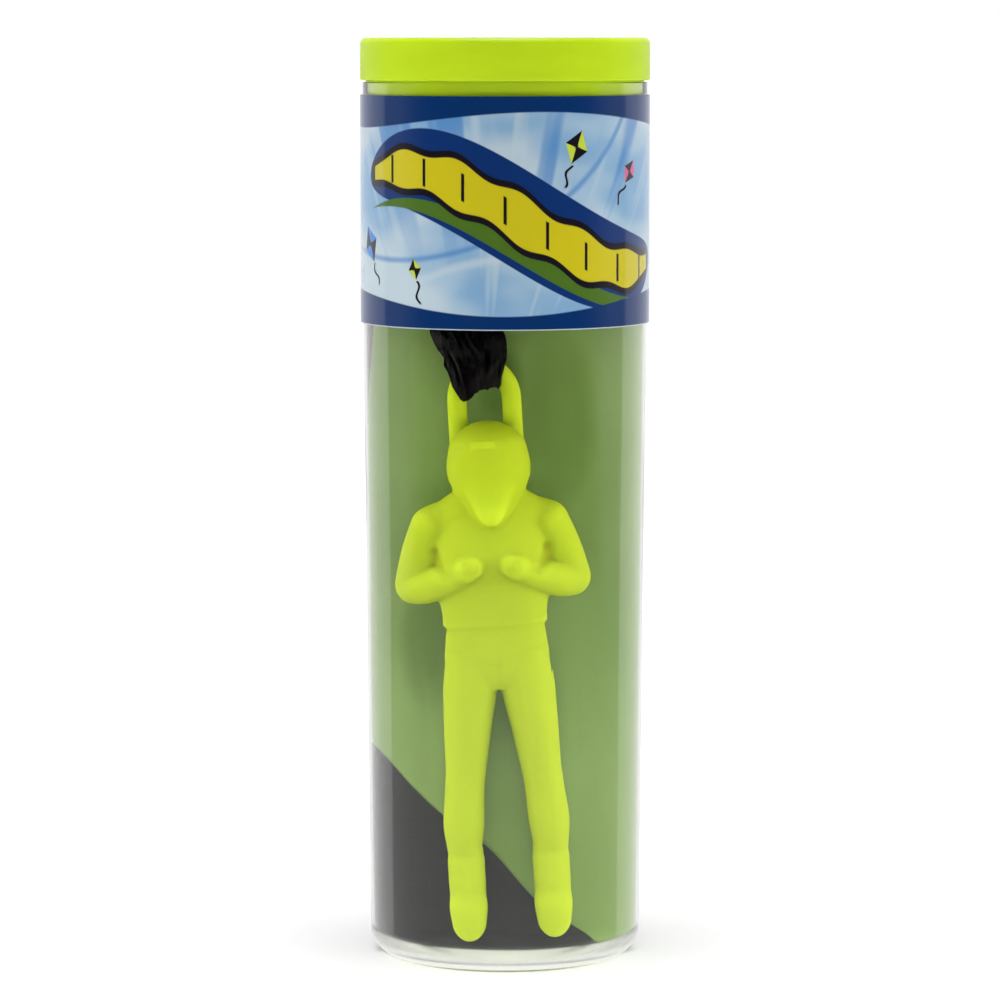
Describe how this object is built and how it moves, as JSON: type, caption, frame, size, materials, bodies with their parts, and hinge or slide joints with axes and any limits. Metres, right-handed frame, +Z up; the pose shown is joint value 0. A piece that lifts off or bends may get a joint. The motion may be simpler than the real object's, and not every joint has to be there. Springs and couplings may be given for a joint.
{
  "type": "toy parachute",
  "caption": "Toy parachutist packed in a clear plug-capped tube: a moulded figure hung by its loop from the gathered net of a rolled nylon canopy, with a printed label sleeve.",
  "frame": {"origin": "centre of the tube's foot ring, on the surface that it stands on", "axes": "+Z up the tube's axis, -Y towards the viewer, so the figure faces -Y, +X to the viewer's right"},
  "size_m": [0.0524, 0.0526, 0.1668],
  "materials": {
    "clear_plastic": "clear and glossy",
    "lime_plastic": "satin moulded",
    "printed_film": "glossy printed film",
    "neon_plastic": "satin moulded",
    "green_nylon": "thin woven nylon with a slight sheen",
    "black_nylon": "thin woven nylon with a slight sheen",
    "black_net": "gathered net with a gloss",
    "black_thread": "twisted thread"
  },
  "bodies": {
    "canister": {"clear_tube": "clear_plastic", "label_sleeve": "printed_film"},
    "cap": {"plug_cap": "lime_plastic"},
    "toy_pack": {"canopy_centre_panel": "green_nylon", "canopy_side_panel_lower": "black_nylon", "canopy_side_panel_upper": "black_nylon", "net_skirt": "black_net", "skirt_tie": "black_thread"},
    "figure": {"parachutist_figure": "neon_plastic"}
  },
  "joints": [
    {"name": "cap_lift", "type": "slide", "parent": "canister", "child": "cap", "axis": [0, 0, 1], "range_m": [0, 0.2]},
    {"name": "pack_lift", "type": "slide", "parent": "canister", "child": "toy_pack", "axis": [0, 0, 1], "range_m": [0, 0.16]},
    {"name": "figure_swing", "type": "hinge", "parent": "toy_pack", "child": "figure", "pos_m": [-0.0043, -0.00943, 0.10809], "axis": [1, 0, 0], "range_deg": [-1.2, 0]}
  ],
  "couplings": [
    {"joint": "pack_lift", "follows": "cap_lift", "ratio": 0.8}
  ]
}
